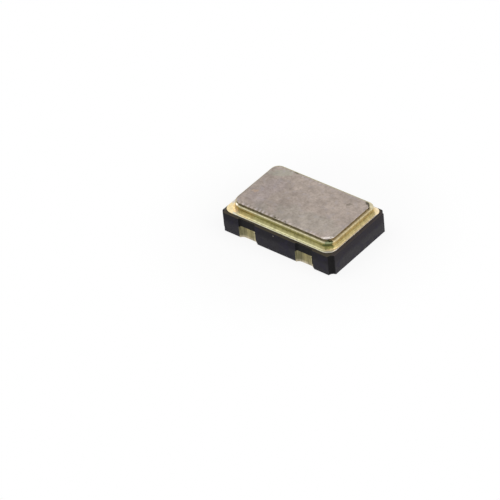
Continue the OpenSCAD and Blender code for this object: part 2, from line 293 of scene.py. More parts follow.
def finish_piece(piece, node, material, smooth_angle=40, offset=(0, 0, 0)):
    """Brings the piece to metres, finishes it, and lets it stand for its CAD node."""
    pick(piece)
    piece.scale = (MM, MM, MM)
    piece.location = Vector(offset) * MM
    bpy.ops.object.transform_apply(location=True, rotation=True, scale=True)
    bpy.ops.object.shade_smooth_by_angle(angle=math.radians(smooth_angle))
    piece.data.materials.clear()
    piece.data.materials.append(material)
    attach(piece, "root")
    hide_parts(node)
    return piece


# ---------- Materials ----------


class Finish:
    """A Principled material with a few ways to vary it over the surface."""

    def __init__(self, name, metallic=0.0, roughness=0.5, specular=0.5):
        self.material = bpy.data.materials.new(name)
        self.material.use_nodes = True
        self.tree = self.material.node_tree
        self.shader = self.tree.nodes["Principled BSDF"]
        self.shader.inputs["Metallic"].default_value = metallic
        self.shader.inputs["Roughness"].default_value = roughness
        self.shader.inputs["Specular IOR Level"].default_value = specular

    def node(self, kind, **values):
        made = self.tree.nodes.new(kind)
        for name, value in values.items():
            setattr(made, name, value)
        return made

    def link(self, source, target):
        self.tree.links.new(source, target)

    def put(self, value, socket):
        """Links a socket's output, or sets a number or a colour."""
        if isinstance(value, bpy.types.NodeSocket):
            self.link(value, socket)
        elif isinstance(value, (int, float)):
            socket.default_value = value
        else:
            socket.default_value = (*value, 1)

    def millimetres(self, stretch=(1, 1, 1)):
        """Object coordinates, counted in millimetres."""
        source = self.node("ShaderNodeTexCoord")
        mapping = self.node("ShaderNodeMapping")
        mapping.inputs["Scale"].default_value = [part / MM for part in stretch]
        self.link(source.outputs["Object"], mapping.inputs["Vector"])
        return mapping.outputs["Vector"]

    def noise(self, per_mm, detail=3, stretch=(1, 1, 1), roughness=0.5):
        texture = self.node("ShaderNodeTexNoise")
        texture.inputs["Scale"].default_value = per_mm
        texture.inputs["Detail"].default_value = detail
        texture.inputs["Roughness"].default_value = roughness
        self.link(self.millimetres(stretch), texture.inputs["Vector"])
        return texture.outputs["Fac"]

    def ramp(self, factor, low, high, start=0.3, end=0.7):
        """Runs from one colour or grey level to another."""
        ramp = self.node("ShaderNodeValToRGB")
        for element, place, value in zip(ramp.color_ramp.elements, (start, end), (low, high)):
            element.position = place
            shade = (value,) * 3 if isinstance(value, (int, float)) else value
            element.color = (*shade, 1)
        self.link(factor, ramp.inputs["Fac"])
        return ramp.outputs["Color"]

    def mix(self, factor, first, second, blend="MIX"):
        mix = self.node("ShaderNodeMix", data_type="RGBA", blend_type=blend)
        for value, socket in zip((factor, first, second), (0, 6, 7)):
            self.put(value, mix.inputs[socket])
        return mix.outputs[2]

    def tint(self, where, base, colour):
        """Multiplies the base by a colour where the mask is 1."""
        return self.mix(where, base, self.mix(1.0, base, colour, "MULTIPLY"))

    def maths(self, first, second, operation="ADD"):
        maths = self.node("ShaderNodeMath", operation=operation)
        self.put(first, maths.inputs[0])
        self.put(second, maths.inputs[1])
        return maths.outputs[0]

    def times(self, first, second):
        return self.maths(first, second, "MULTIPLY")

    def between(self, value, start, end, low=0.0, high=1.0):
        """Low before the start, high after the end, and a smooth run between them."""
        band = self.node("ShaderNodeMapRange", interpolation_type="SMOOTHSTEP")
        band.inputs["From Min"].default_value = start
        band.inputs["From Max"].default_value = end
        band.inputs["To Min"].default_value = low
        band.inputs["To Max"].default_value = high
        self.link(value, band.inputs["Value"])
        return band.outputs["Result"]

    def place(self, axis):
        """Place along an axis, in millimetres."""
        split = self.node("ShaderNodeSeparateXYZ")
        self.link(self.millimetres(), split.inputs["Vector"])
        return split.outputs[axis]

    def along(self, axis, start, end):
        """0 to 1 between two places along an axis."""
        return self.between(self.place(axis), start, end)

    def outwards(self, axis, start, end):
        """The same on both sides of the middle."""
        return self.between(self.maths(self.place(axis), 0.0, "ABSOLUTE"), start, end)

    def spot(self, middle, size, turn=0, ragged=0.5, per_mm=14):
        """1 inside a ragged ellipsoid round the middle, 0 outside, in millimetres."""
        source = self.node("ShaderNodeTexCoord")
        place = self.node("ShaderNodeMapping", vector_type="TEXTURE")
        place.inputs["Location"].default_value = Vector(middle) * MM
        place.inputs["Rotation"].default_value = (0, 0, math.radians(turn))
        place.inputs["Scale"].default_value = Vector(size) * MM
        self.link(source.outputs["Object"], place.inputs["Vector"])
        length = self.node("ShaderNodeVectorMath", operation="LENGTH")
        self.link(place.outputs["Vector"], length.inputs[0])
        rough = self.between(self.noise(per_mm, detail=2), 0.3, 0.7, -ragged, ragged)
        return self.between(self.maths(length.outputs["Value"], rough), 1.25, 0.75)

    def bump(self, height, depth_um):
        """Adds relief of this depth, in micrometres, on top of what is there."""
        bump = self.node("ShaderNodeBump")
        bump.inputs["Strength"].default_value = 1.0
        bump.inputs["Distance"].default_value = depth_um * 1e-6
        self.link(height, bump.inputs["Height"])
        normal = self.shader.inputs["Normal"]
        if normal.is_linked:
            self.link(normal.links[0].from_socket, bump.inputs["Normal"])
        self.link(bump.outputs["Normal"], normal)

    def grain(self, per_mm, detail, depth_um):
        self.bump(self.noise(per_mm, detail), depth_um)

    def colour(self, socket):
        self.link(socket, self.shader.inputs["Base Color"])

    def roughness(self, socket):
        self.link(socket, self.shader.inputs["Roughness"])

    def sheen(self, per_mm, low, high):
        """Roughness that wanders between two values."""
        self.roughness(self.ramp(self.noise(per_mm), low, high))


def black_ceramic():
    """Matt fired ceramic, darker in the upper part of its sides under the seal, with painted shade
    in the notches and the grooves and painted light on its ends.
    """
    finish = Finish("black ceramic", specular=0.15)
    upper = finish.along("Z", 0.40, 0.60)
    grain = finish.noise(8, detail=5)
    # Painted light: the long sides and the ends get shaded and lit copies of one colour, the ends
    # lighter.
    side = finish.ramp(grain, (0.023, 0.021, 0.026), (0.034, 0.032, 0.037))
    side = finish.mix(upper, side, (0.013, 0.0115, 0.016))
    end = finish.ramp(grain, (0.030, 0.028, 0.031), (0.044, 0.041, 0.045))
    end = finish.mix(upper, end, (0.024, 0.0205, 0.025))
    lit_ends = finish.outwards("X", 2.44, 2.49)
    body = finish.mix(lit_ends, side, end)
    tint = finish.between(finish.noise(3.5, detail=3), 0.5, 0.68, 0, 0.55)
    body = finish.mix(tint, body, (0.017, 0.014, 0.030))
    ledge = finish.along("Z", 0.822, 0.828)
    beside = finish.outwards("X", 2.30, 2.40)
    shelf = finish.mix(beside, (0.056, 0.046, 0.032), (0.049, 0.040, 0.040))
    rubbed = finish.spot((-2.43, -1.35, 0.8), (0.10, 0.22, 0.1), ragged=0.3)
    shelf = finish.mix(rubbed, shelf, (0.105, 0.098, 0.085))
    body = finish.mix(ledge, body, shelf)
    # Painted shade in the corner notches, where less light reaches.
    corner_x = finish.outwards("X", 2.33, 2.36)
    corner_y = finish.outwards("Y", 1.42, 1.50)
    face_x = finish.outwards("X", 2.495, 2.485)
    face_y = finish.outwards("Y", 1.595, 1.585)
    corner = finish.times(corner_x, corner_y)
    notch = finish.times(corner, finish.times(face_x, face_y))
    body = finish.mix(notch, body, (0.017, 0.014, 0.018))
    # Painted shade in the grooves and the other recessed faces, leaving out the ends and the ledge.
    sunk_shade = finish.outwards("Y", 1.585, 1.565)
    sunk_shade = finish.maths(sunk_shade, finish.maths(ledge, lit_ends, "MAXIMUM"), "SUBTRACT")
    body = finish.mix(finish.between(sunk_shade, 0, 1), body, (0.005, 0.0045, 0.005))
    speck = finish.spot((-0.07, -1.6, 0.74), (0.022, 0.03, 0.022), ragged=0.2)
    finish.colour(finish.mix(speck, body, (0.30, 0.27, 0.22)))
    finish.sheen(22, 0.55, 0.75)
    finish.grain(60, 4, 1.2)
    finish.grain(7, 3, 3.0)
    return finish.material


def pad_gold():
    """Gold plating on the solder pads, streaked where it climbs the grooves, with painted shade
    there and a painted shadow under the step.
    """
    finish = Finish("terminal gold", metallic=1.0)
    pad = finish.ramp(finish.noise(5, detail=4), (0.66, 0.40, 0.11), (0.78, 0.53, 0.19))
    x = finish.place("X")
    pin_x = finish.times(finish.maths(x, 0.0, "SIGN"), PIN_X)
    place = finish.maths(x, pin_x, "SUBTRACT")
    # Painted shade on the groove wall: darkest at its left, paler to the right, and lighter towards
    # its foot.
    middle = finish.between(place, -0.30, 0.02)
    wall = finish.mix(middle, (0.17, 0.155, 0.085), (0.27, 0.235, 0.115))
    right = finish.between(place, 0.12, 0.33)
    wall = finish.mix(right, wall, (0.37, 0.33, 0.21))
    foot = finish.along("Z", 0.14, 0.03)
    wall = finish.mix(foot, wall, (0.42, 0.37, 0.26))
    streaks = finish.noise(13, detail=4, stretch=(1, 1, 0.06), roughness=0.6)
    wall = finish.mix(1.0, wall, finish.ramp(streaks, 0.76, 1.42, 0.36, 0.64), "MULTIPLY")
    blots = finish.between(finish.noise(6, detail=3), 0.52, 0.66, 0, 0.4)
    wall = finish.mix(blots, wall, (0.14, 0.125, 0.065))
    # Painted shadow under the step at the top of the groove.
    step_shadow = finish.along("Z", 0.465, 0.495)
    wall = finish.mix(step_shadow, wall, (0.05, 0.043, 0.028))
    climbs = finish.along("Z", 0.001, 0.005)
    finish.colour(finish.mix(climbs, pad, wall))
    finish.sheen(16, 0.32, 0.55)
    finish.grain(30, 3, 1.5)
    finish.grain(6, 2, 3.0)
    return finish.material


def cloudy(finish, colour, per_mm=7, depth=0.14):
    """The colour, a little darker and lighter in clouds."""
    clouds = finish.ramp(finish.noise(per_mm, detail=5), 1 - depth, 1 + depth, 0.32, 0.68)
    return finish.mix(1.0, colour, clouds, "MULTIPLY")


def plated_grain(finish):
    """Grain and gentle unevenness of plating over fired metal."""
    finish.sheen(18, 0.30, 0.48)
    finish.grain(40, 3, 1.0)
    finish.grain(9, 2, 3.0)
    return finish.material


def band_gold():
    """Pale gold of the printed band, with painted shade on the edge of its film and painted light on
    its ends and corners.
    """
    finish = Finish("band gold", metallic=1.0)
    # Painted light: the ends are tinted apart from the long sides.
    lit_ends = finish.outwards("X", 1.9, 2.2)
    base = finish.mix(lit_ends, (0.66, 0.645, 0.515), (0.65, 0.61, 0.58))
    # Painted light on the left front corner.
    warm_corner_light = finish.spot((-2.24, -1.27, 0.85), (0.34, 0.26, 0.2), turn=-60, ragged=0.3)
    base = finish.mix(warm_corner_light, base, (0.85, 0.70, 0.41))
    # Painted light on the right back corner.
    right = finish.spot((2.26, 1.42, 0.85), (0.24, 0.2, 0.2), turn=-45, ragged=0.3)
    base = cloudy(finish, finish.mix(right, base, (0.92, 0.76, 0.52)))
    # Painted shade on the edge of the film.
    edge_shade = finish.along("Z", 0.846, 0.840)
    finish.colour(finish.mix(edge_shade, base, (0.06, 0.038, 0.018)))
    return plated_grain(finish)


def braze_gold():
    """Plated braze, painted with its reflection: olive where it climbs the ring, paler where it runs
    out, with painted light and reflections at the corners.
    """
    finish = Finish("braze gold", metallic=1.0)
    # Painted reflection: the colour changes with height up the fillet; the long sides and the ends
    # get shaded and lit copies.
    climb = finish.along("Z", 0.855, 0.885)
    high = finish.along("Z", 0.885, 0.96)
    shaded_side = finish.mix(high, (0.36, 0.335, 0.165), (0.38, 0.345, 0.145))
    shaded_side = finish.mix(climb, (0.50, 0.48, 0.31), shaded_side)
    lit_ends = finish.mix(high, (0.41, 0.33, 0.16), (0.60, 0.49, 0.21))
    lit_ends = finish.mix(climb, (0.50, 0.40, 0.23), lit_ends)
    toe = finish.along("Z", 0.857, 0.854)
    lit_ends = finish.mix(toe, lit_ends, (0.65, 0.61, 0.58))
    base = finish.mix(finish.outwards("X", 1.85, 2.15), shaded_side, lit_ends)
    # Painted light on the left front corner.
    warm_corner_light = finish.spot((-2.17, -1.22, 0.9), (0.34, 0.26, 0.2), turn=-60, ragged=0.3)
    base = finish.mix(warm_corner_light, base, (0.93, 0.71, 0.36))
    # Painted reflection where the braze climbs the ring at the left front corner.
    corner_reflection = finish.spot((-2.03, -1.21, 0.97), (0.17, 0.14, 0.07), turn=-45, ragged=0.2)
    base = finish.mix(corner_reflection, base, (0.40, 0.32, 0.18))
    shade = finish.spot((-1.88, -1.37, 0.93), (0.15, 0.10, 0.09), turn=-25, ragged=0.25)
    base = finish.tint(shade, base, (0.58, 0.61, 0.72))
    brown = finish.spot((-1.65, -1.40, 0.93), (0.50, 0.12, 0.3), ragged=0.3, per_mm=3)
    base = finish.tint(brown, base, (1.15, 1.02, 0.92))
    # Painted dark greenish reflection below the front right corner of the lid.
    green_reflection = finish.spot((2.12, -1.28, 0.97), (0.17, 0.13, 0.08), turn=41, ragged=0.45, per_mm=9)
    base = finish.tint(green_reflection, base, (0.52, 0.60, 0.46))
    # Painted light on the right back corner.
    right = finish.spot((2.24, 1.38, 0.86), (0.22, 0.16, 0.08), turn=-45, ragged=0.3)
    base = finish.mix(right, base, (0.85, 0.70, 0.42))
    streaks = finish.ramp(finish.noise(9, detail=4, stretch=(1, 1, 0.4)), 0.82, 1.18, 0.34, 0.66)
    finish.colour(finish.mix(1.0, base, streaks, "MULTIPLY"))
    return plated_grain(finish)


def ring_gold():
    """Thin gold over nickel, painted with its reflection: olive on the streaked wall, pale along the
    upper edge, with painted light at the ends and corners.
    """
    finish = Finish("ring gold", metallic=1.0)
    # Painted reflection: the wall changes colour towards its foot; the long sides and the ends get
    # shaded and lit copies.
    lit_ends = finish.outwards("X", 1.95, 2.15)
    low = finish.along("Z", 1.07, 1.0)
    shaded_side = finish.mix(low, (0.335, 0.305, 0.11), (0.245, 0.22, 0.072))
    lit_wall_end = finish.mix(low, (0.55, 0.41, 0.16), (0.68, 0.50, 0.20))
    wall = finish.mix(lit_ends, shaded_side, lit_wall_end)
    # Painted dark greenish reflection below the front right corner of the lid.
    green_reflection = finish.spot((2.11, -1.255, 1.05), (0.15, 0.16, 0.12), turn=41, ragged=0.45, per_mm=9)
    wall = finish.mix(finish.times(green_reflection, 0.85), wall, (0.075, 0.11, 0.036))
    # Painted light on the left front corner of the wall.
    warm_corner_light = finish.spot((-2.13, -1.18, 1.0), (0.20, 0.2, 0.2), turn=-45, ragged=0.3)
    wall = finish.mix(warm_corner_light, wall, (0.42, 0.335, 0.17))
    brown = finish.spot((-1.65, -1.31, 1.03), (0.50, 0.12, 0.3), ragged=0.3, per_mm=3)
    wall = finish.tint(brown, wall, (1.03, 0.86, 0.76))
    top = finish.mix(lit_ends, (0.43, 0.39, 0.25), (0.49, 0.405, 0.235))
    # Painted highlight on the right back corner of the top.
    pale = finish.spot((2.13, 1.27, 1.1), (0.22, 0.15, 0.2), turn=-45, ragged=0.2)
    top = finish.mix(pale, top, (0.62, 0.55, 0.37))
    glint = finish.spot((-1.94, -1.24, 1.135), (0.07, 0.05, 0.04), turn=-30, ragged=0.15)
    top = finish.mix(glint, top, (1.0, 0.92, 0.78))
    # Painted greenish reflection on the top at the front right corner.
    mint_reflection = finish.spot((2.11, -1.22, 1.12), (0.14, 0.11, 0.06), turn=41, ragged=0.35, per_mm=9)
    top = finish.mix(mint_reflection, top, (0.27, 0.305, 0.175))
    # Painted shadow in the gap under the lid at the front right corner.
    gap_shadow = finish.spot((2.143, -1.133, 1.14), (0.08, 0.05, 0.03), turn=41, ragged=0.25)
    top = finish.mix(gap_shadow, top, (0.06, 0.066, 0.03))
    upper = finish.along("Z", 1.085, 1.12)
    base = finish.mix(upper, wall, top)
    streaks = finish.noise(9, detail=4, stretch=(1, 1, 0.3))
    finish.colour(finish.mix(1.0, base, finish.ramp(streaks, 0.84, 1.16, 0.34, 0.66), "MULTIPLY"))
    finish.sheen(15, 0.28, 0.46)
    finish.grain(30, 3, 0.8)
    finish.grain(8, 2, 2.0)
    return finish.material


def nickel_mottle(finish):
    """Grey nickel with a faint mottle, wide soft clouds and two stains."""
    mottle = finish.noise(3.6, detail=7, roughness=0.7)
    top = finish.ramp(mottle, (0.275, 0.233, 0.204), (0.492, 0.417, 0.368), 0.28, 0.72)
    fine = finish.noise(12, detail=4)
    top = finish.mix(finish.between(fine, 0.48, 0.66, 0, 0.38), top, (0.25, 0.21, 0.175))
    side_to_side = finish.ramp(finish.along("X", -1.6, 1.6), 0.94, 1.07)
    top = finish.mix(1.0, top, side_to_side, "MULTIPLY")
    greenish = finish.spot((-1.62, 0.93, 1.24), (0.42, 0.16, 0.1), turn=33, ragged=0.4, per_mm=5)
    top = finish.mix(finish.times(greenish, 0.5), top, (0.36, 0.36, 0.30))
    orange = finish.spot((-1.77, -0.38, 1.24), (0.13, 0.08, 0.1), turn=30, ragged=0.4)
    top = finish.mix(finish.times(orange, 0.35), top, (0.58, 0.40, 0.25))
    cool = finish.between(finish.noise(4, detail=3), 0.52, 0.70, 0, 0.35)
    top = finish.mix(cool, top, (0.37, 0.335, 0.345))
    shades = [
        ((-1.0, 1.0, 1.24), (1.25, 0.42, 0.2), (1.12, 1.12, 1.12)),
        ((0.95, 1.0, 1.24), (0.85, 0.30, 0.2), (0.95, 0.95, 0.95)),
        ((0.75, -0.85, 1.24), (1.5, 0.55, 0.2), (0.94, 0.975, 0.97)),
        ((-1.45, -0.05, 1.24), (0.5, 0.7, 0.2), (1.0, 1.0, 1.05)),
    ]
    for middle, size, shade in shades:
        cloud = finish.spot(middle, size, ragged=0.45, per_mm=2)
        top = finish.tint(cloud, top, shade)
    return top


def weld_ripples(finish, top):
    """Adds weld ripples near the edge: painted shade in dark dash marks between them, a painted
    highlight on their pale crest lines, and their relief.
    """
    rim_x = finish.outwards("X", 1.98, 2.06)
    rim_y = finish.outwards("Y", 1.09, 1.16)
    rim = finish.maths(rim_x, rim_y, "MAXIMUM")
    ripple = finish.node("ShaderNodeTexWave", bands_direction="X")
    ripple.inputs["Scale"].default_value = 1.8
    ripple.inputs["Distortion"].default_value = 4.0
    ripple.inputs["Detail"].default_value = 3
    finish.link(finish.millimetres(), ripple.inputs["Vector"])
    # Painted shade in the troughs between the weld ripples.
    trough_shade = finish.times(finish.between(ripple.outputs["Fac"], 0.55, 0.15), rim)
    left = finish.along("X", 0.9, -0.6)
    strength = finish.between(left, 0, 1, 0.10, 0.50)
    at_front = finish.ramp(finish.along("Y", 0.2, -0.2), 0.4, 1.0)
    faint = finish.times(trough_shade, finish.times(strength, at_front))
    top = finish.mix(faint, top, (0.175, 0.148, 0.12))
    # Painted highlight on the crest lines of the weld ripples.
    inner_rim = finish.outwards("Y", 1.085, 1.13)
    crest_highlight = finish.times(finish.between(ripple.outputs["Fac"], 0.50, 0.90), inner_rim)
    uneven = finish.between(finish.noise(2.6), 0.42, 0.60, 0.05, 0.40)
    crest_highlight = finish.times(finish.times(crest_highlight, uneven), at_front)
    top = finish.mix(crest_highlight, top, (0.50, 0.455, 0.47))
    relief = finish.times(ripple.outputs["Fac"], rim)
    return top, relief


def lid_edge(finish, top):
    """Adds painted shade on the lid's side below its flat: broken, darker on the long sides than at
    the ends, and browner at its foot.
    """
    break_up = finish.noise(5, detail=3)
    # Painted shade on the side of the lid: darker on the long sides than at the ends, browner at its
    # foot.
    edge_y = finish.ramp(break_up, (0.07, 0.060, 0.040), (0.33, 0.30, 0.22), 0.36, 0.58)
    edge_x = finish.ramp(break_up, (0.34, 0.295, 0.255), (0.47, 0.415, 0.36), 0.36, 0.58)
    edge = finish.mix(finish.outwards("X", 1.95, 2.12), edge_y, edge_x)
    edge = finish.mix(finish.along("Z", 1.163, 1.15), edge, (0.36, 0.32, 0.22))
    side = finish.along("Z", 1.185, 1.215)
    return finish.mix(side, edge, top)


def lid_marks(finish, top):
    """Adds a painted highlight on the front corner, and dark spots: painted shade in the gaps under
    the rim at the corners, and small dark marks.
    """
    # Painted highlight along the rim at the front right corner.
    shine = finish.spot((1.98, -1.12, 1.235), (0.27, 0.045, 0.1), turn=40, ragged=0.45, per_mm=9)
    broken = finish.between(finish.noise(9, detail=2), 0.38, 0.58, 0.3, 1.0)
    top = finish.mix(finish.times(shine, broken), top, (0.74, 0.68, 0.64))
    # Dark spots: painted shade in the gaps under the rim at the right corners, the rest small dark
    # marks on the rim and the flat.
    dark_spots = [
        ((1.505, 0.745, 1.24), (0.13, 0.055, 0.05), 56, 0.42),
        ((2.03, 1.16, 1.22), (0.12, 0.06, 0.3), -38, 0.88),
        ((2.15, 1.075, 1.2), (0.11, 0.04, 0.3), -55, 0.85),
        ((-1.17, 1.22, 1.24), (0.10, 0.035, 0.2), 0, 0.85),
        ((-0.25, -1.20, 1.24), (0.05, 0.03, 0.2), 0, 0.85),
        ((0.22, -1.20, 1.24), (0.05, 0.03, 0.2), 0, 0.85),
        ((2.09, -1.12, 1.17), (0.10, 0.05, 0.05), 45, 0.9),
    ]
    for middle, size, turn, depth in dark_spots:
        dark_spot = finish.spot(middle, size, turn, ragged=0.3, per_mm=8)
        top = finish.mix(finish.times(dark_spot, depth), top, (0.072, 0.064, 0.036))
    return top


def nickel_lid():
    """Matt nickel lid, welded along its edges, with a painted highlight, painted shade and small
    dark marks.
    """
    finish = Finish("matte nickel", metallic=1.0)
    top, relief = weld_ripples(finish, nickel_mottle(finish))
    finish.colour(lid_marks(finish, lid_edge(finish, top)))
    finish.roughness(finish.ramp(finish.noise(11, detail=4), 0.40, 0.56))
    finish.grain(42, 4, 1.2)
    finish.grain(4.5, 3, 6.0)
    finish.bump(relief, 9.0)
    return finish.material


def fired_gold():
    """Printed conductors with plated gold, grainy."""
    finish = Finish("fired gold", metallic=1.0)
    finish.colour(finish.ramp(finish.noise(24, detail=4), (0.60, 0.37, 0.12), (0.78, 0.54, 0.22)))
    finish.sheen(40, 0.34, 0.52)
    finish.grain(90, 3, 1.0)
    return finish.material


def bond_aluminium():
    """Bright aluminium of the bond pads, finely grained."""
    finish = Finish("bond pad aluminium", metallic=1.0)
    finish.colour(finish.ramp(finish.noise(60, detail=3), (0.62, 0.62, 0.61), (0.80, 0.80, 0.78)))
    finish.sheen(90, 0.25, 0.42)
    finish.grain(160, 2, 0.3)
    return finish.material


def vapour_silver():
    """Evaporated silver: even and fairly bright, with a faint cloudiness."""
    finish = Finish("evaporated silver", metallic=1.0)
    finish.colour(finish.ramp(finish.noise(5, detail=4), (0.42, 0.41, 0.385), (0.56, 0.55, 0.52)))
    finish.sheen(12, 0.24, 0.40)
    finish.grain(70, 2, 0.3)
    return finish.material


def silver_adhesive():
    """Grey resin full of silver flakes."""
    finish = Finish("silver adhesive", metallic=0.6)
    flakes = finish.node("ShaderNodeTexVoronoi")
    flakes.inputs["Scale"].default_value = 120
    finish.link(finish.millimetres(), flakes.inputs["Vector"])
    grey = finish.ramp(flakes.outputs["Distance"], (0.50, 0.49, 0.46), (0.26, 0.25, 0.24), 0.1, 0.7)
    clouds = finish.between(finish.noise(14), 0.4, 0.7, 0, 0.4)
    finish.colour(finish.mix(clouds, grey, (0.22, 0.21, 0.20)))
    finish.sheen(50, 0.45, 0.65)
    finish.bump(flakes.outputs["Distance"], 1.5)
    return finish.material


def clear_quartz():
    """Lapped quartz: clear, with a faint frost that thickens at the sawn edges."""
    finish = Finish("lapped quartz", roughness=0.12)
    finish.shader.inputs["IOR"].default_value = 1.544
    finish.shader.inputs["Transmission Weight"].default_value = 0.9
    finish.colour(finish.ramp(finish.noise(3, detail=3), (0.88, 0.93, 0.94), (0.96, 0.98, 0.97)))
    edge_y = finish.outwards("Y", 0.82, 0.85)
    edge = finish.maths(finish.along("X", 1.57, 1.6), edge_y, "MAXIMUM")
    frost = finish.ramp(finish.noise(30, detail=4), 0.10, 0.22)
    finish.roughness(finish.mix(edge, frost, (0.5, 0.5, 0.5)))
    finish.grain(110, 3, 0.6)
    return finish.material


def silicon_chip():
    """Sawn silicon, with blocks of circuit and metal tracks on its upper face."""
    finish = Finish("silicon chip", metallic=0.35)
    saw = finish.noise(40, detail=3, stretch=(1, 1, 0.2))
    body = finish.ramp(saw, (0.075, 0.078, 0.085), (0.14, 0.145, 0.155))
    blocks = finish.node("ShaderNodeTexBrick", offset=0.37, squash=0.7, squash_frequency=3)
    blocks.inputs["Scale"].default_value = 9
    blocks.inputs["Mortar Size"].default_value = 0.03
    blocks.inputs["Color1"].default_value = (0.10, 0.15, 0.19, 1)
    blocks.inputs["Color2"].default_value = (0.20, 0.14, 0.17, 1)
    blocks.inputs["Mortar"].default_value = (0.45, 0.43, 0.38, 1)
    finish.link(finish.millimetres(), blocks.inputs["Vector"])
    fine = finish.node("ShaderNodeTexChecker")
    fine.inputs["Scale"].default_value = 70
    fine.inputs["Color1"].default_value = (1, 1, 1, 1)
    fine.inputs["Color2"].default_value = (0.72, 0.74, 0.78, 1)
    finish.link(finish.millimetres(stretch=(1, 0.3, 1)), fine.inputs["Vector"])
    circuit = finish.mix(1.0, blocks.outputs["Color"], fine.outputs["Color"], "MULTIPLY")
    top_z = box_mm("oscillator_die")[1].z
    upper = finish.along("Z", top_z - 0.0025, top_z - 0.001)
    finish.colour(finish.mix(upper, body, circuit))
    finish.sheen(60, 0.16, 0.30)
    finish.bump(blocks.outputs["Fac"], 0.6)
    return finish.material


def drawn_gold():
    """Smooth drawn wire of fine gold."""
    finish = Finish("drawn gold wire", metallic=1.0)
    finish.colour(finish.ramp(finish.noise(30, detail=3), (0.84, 0.55, 0.17), (0.95, 0.68, 0.27)))
    finish.sheen(80, 0.14, 0.28)
    finish.grain(200, 2, 0.3)
    return finish.material


# ---------- Outside pieces ----------


def pin_places():
    """Middle of each pin along X and the side of the body that it is on."""
    places = {}
    for pin in (1, 2, 3, 4):
        low, high = box_mm(f"terminal_{pin}")
        places[pin] = ((low.x + high.x) / 2, -1 if low.y < 0 else 1)
    return places


def groove_cutter(x, side, width, depth, corner_r, z0, z1, drawn_out=1):
    """Box that cuts a groove into a long side, rounded in its inner corners. The
    corner on the left of somebody who faces the groove may be drawn out."""
    edge = side * body_high.y
    inner = edge - side * depth
    outer = edge + side * 0.3
    low = (x - width / 2, min(inner, outer), z0)
    high = (x + width / 2, max(inner, outer), z1)
    cutter = block("groove", low, high)
    bevel_edges(
        cutter, lambda e: upright(e) and abs(e.verts[0].co.y - inner) < TOUCH, corner_r, 8
    )
    left = x + side * width / 2
    edit(cutter)
    choose(cutter, "verts", lambda v: abs(v.co.x - left) < corner_r + TOUCH)
    bpy.ops.transform.resize(value=(drawn_out, 1, 1), center_override=(left, 0, 0))
    leave_edit()
    return cutter


def lower_groove(x, side, z0, z1, wall=0):
    """Cuts the wide groove above a pad, or what a wall of this thickness leaves of it."""
    size = (GROOVE_WIDTH - 2 * wall, GROOVE_DEPTH - wall, GROOVE_R - wall)
    return groove_cutter(x, side, *size, z0, z1, DRAWN_OUT)


def corner_cutter(x, y):
    """Upright pin that cuts the notch into a corner of the body."""
    start_clean()
    bpy.ops.mesh.primitive_cylinder_add(
        vertices=64, radius=CORNER_NOTCH_R, depth=4, location=(x, y, 0)
    )
    return bpy.context.object


def foot_chip(x, side):
    """Slanted block that takes the corner off the ceramic at the foot of a groove."""
    edge = side * body_high.y
    mouth = x + GROOVE_WIDTH / 2
    low, high = sorted((edge + side * 0.2, edge - side * CHIP_DEPTH))
    chip = block("chip", (mouth - 0.3, low, -0.4), (mouth, high, 0.4))
    edit(chip)
    choose_all()
    bpy.ops.transform.rotate(
        value=math.radians(CHIP_SLANT), orient_axis="Y", center_override=(mouth, 0, 0.2)
    )
    leave_edit()
    return chip


def ceramic_body():
    """The fired body: worn and snapped edges, corner notches, grooves and the cavity."""
    body = block("ceramic_body", body_low, body_high)

    def on_top(edge):
        return all(v.co.z > body_high.z - TOUCH for v in edge.verts)

    def at_left(edge):
        return all(v.co.x < body_low.x + TOUCH for v in edge.verts)

    def at_back(edge):
        return all(v.co.y > body_high.y - TOUCH for v in edge.verts)

    def square(edge):
        return abs(edge.calc_face_angle(0) - math.pi / 2) < 0.01

    bevel_edges(body, lambda e: on_top(e) and at_left(e), LEFT_BEVEL, 4)
    bevel_edges(body, lambda e: on_top(e) and at_back(e), BACK_BEVEL, 4)
    bevel_edges(body, lambda e: square(e) and not upright(e), SNAP_BEVEL, 3)
    cutters = []
    for x in (body_low.x, body_high.x):
        for y in (body_low.y, body_high.y):
            cutters.append(corner_cutter(x, y))
    for pin, (x, side) in pin_places().items():
        lower = x + GROOVE_DRIFT[pin]
        cutters.append(lower_groove(lower, side, BELOW, bond_z))
        cutters.append(
            groove_cutter(x, side, GROOVE_WIDTH, UPPER_GROOVE_DEPTH, UPPER_GROOVE_R, BELOW, ABOVE)
        )
        if side < 0:
            cutters.append(foot_chip(lower, side))
    cut(body, cutters)
    cavity = [
        opening_cutter("shelf", CAVITY_X, CAVITY_WIDTH, CAVITY_R, shelf_z),
        opening_cutter("well", SHELF_OPENING, CAVITY_WIDTH, WELL_R, bond_z),
        opening_cutter("pocket", POCKET, POCKET_WIDTH, POCKET_R, floor_z),
    ]
    cut(body, cavity)
    return finish_piece(body, "ceramic_base", black_ceramic())


def solder_pad(pin):
    """The flat pad under the body; pin 1 has its inner corner cut off."""
    x, side = pin_places()[pin]
    low, high = box_mm(f"terminal_{pin}")
    outer = side * (body_high.y - SNAP_BEVEL - TERMINAL_FILM / 2)
    inner = low.y if side > 0 else high.y
    near, far = sorted((inner, outer))
    pad = block(f"pad_{pin}", (low.x, near, low.z), (high.x, far, low.z + TERMINAL_FILM))

    def at_inner_corner(edge):
        corner = edge.verts[0].co
        return upright(edge) and corner.x > x and abs(corner.y - inner) < TOUCH

    if pin == 1:
        bevel_edges(pad, at_inner_corner, PIN_1_CUT, 1)
    bevel_edges(pad, upright, PAD_R, 4)
    return pad


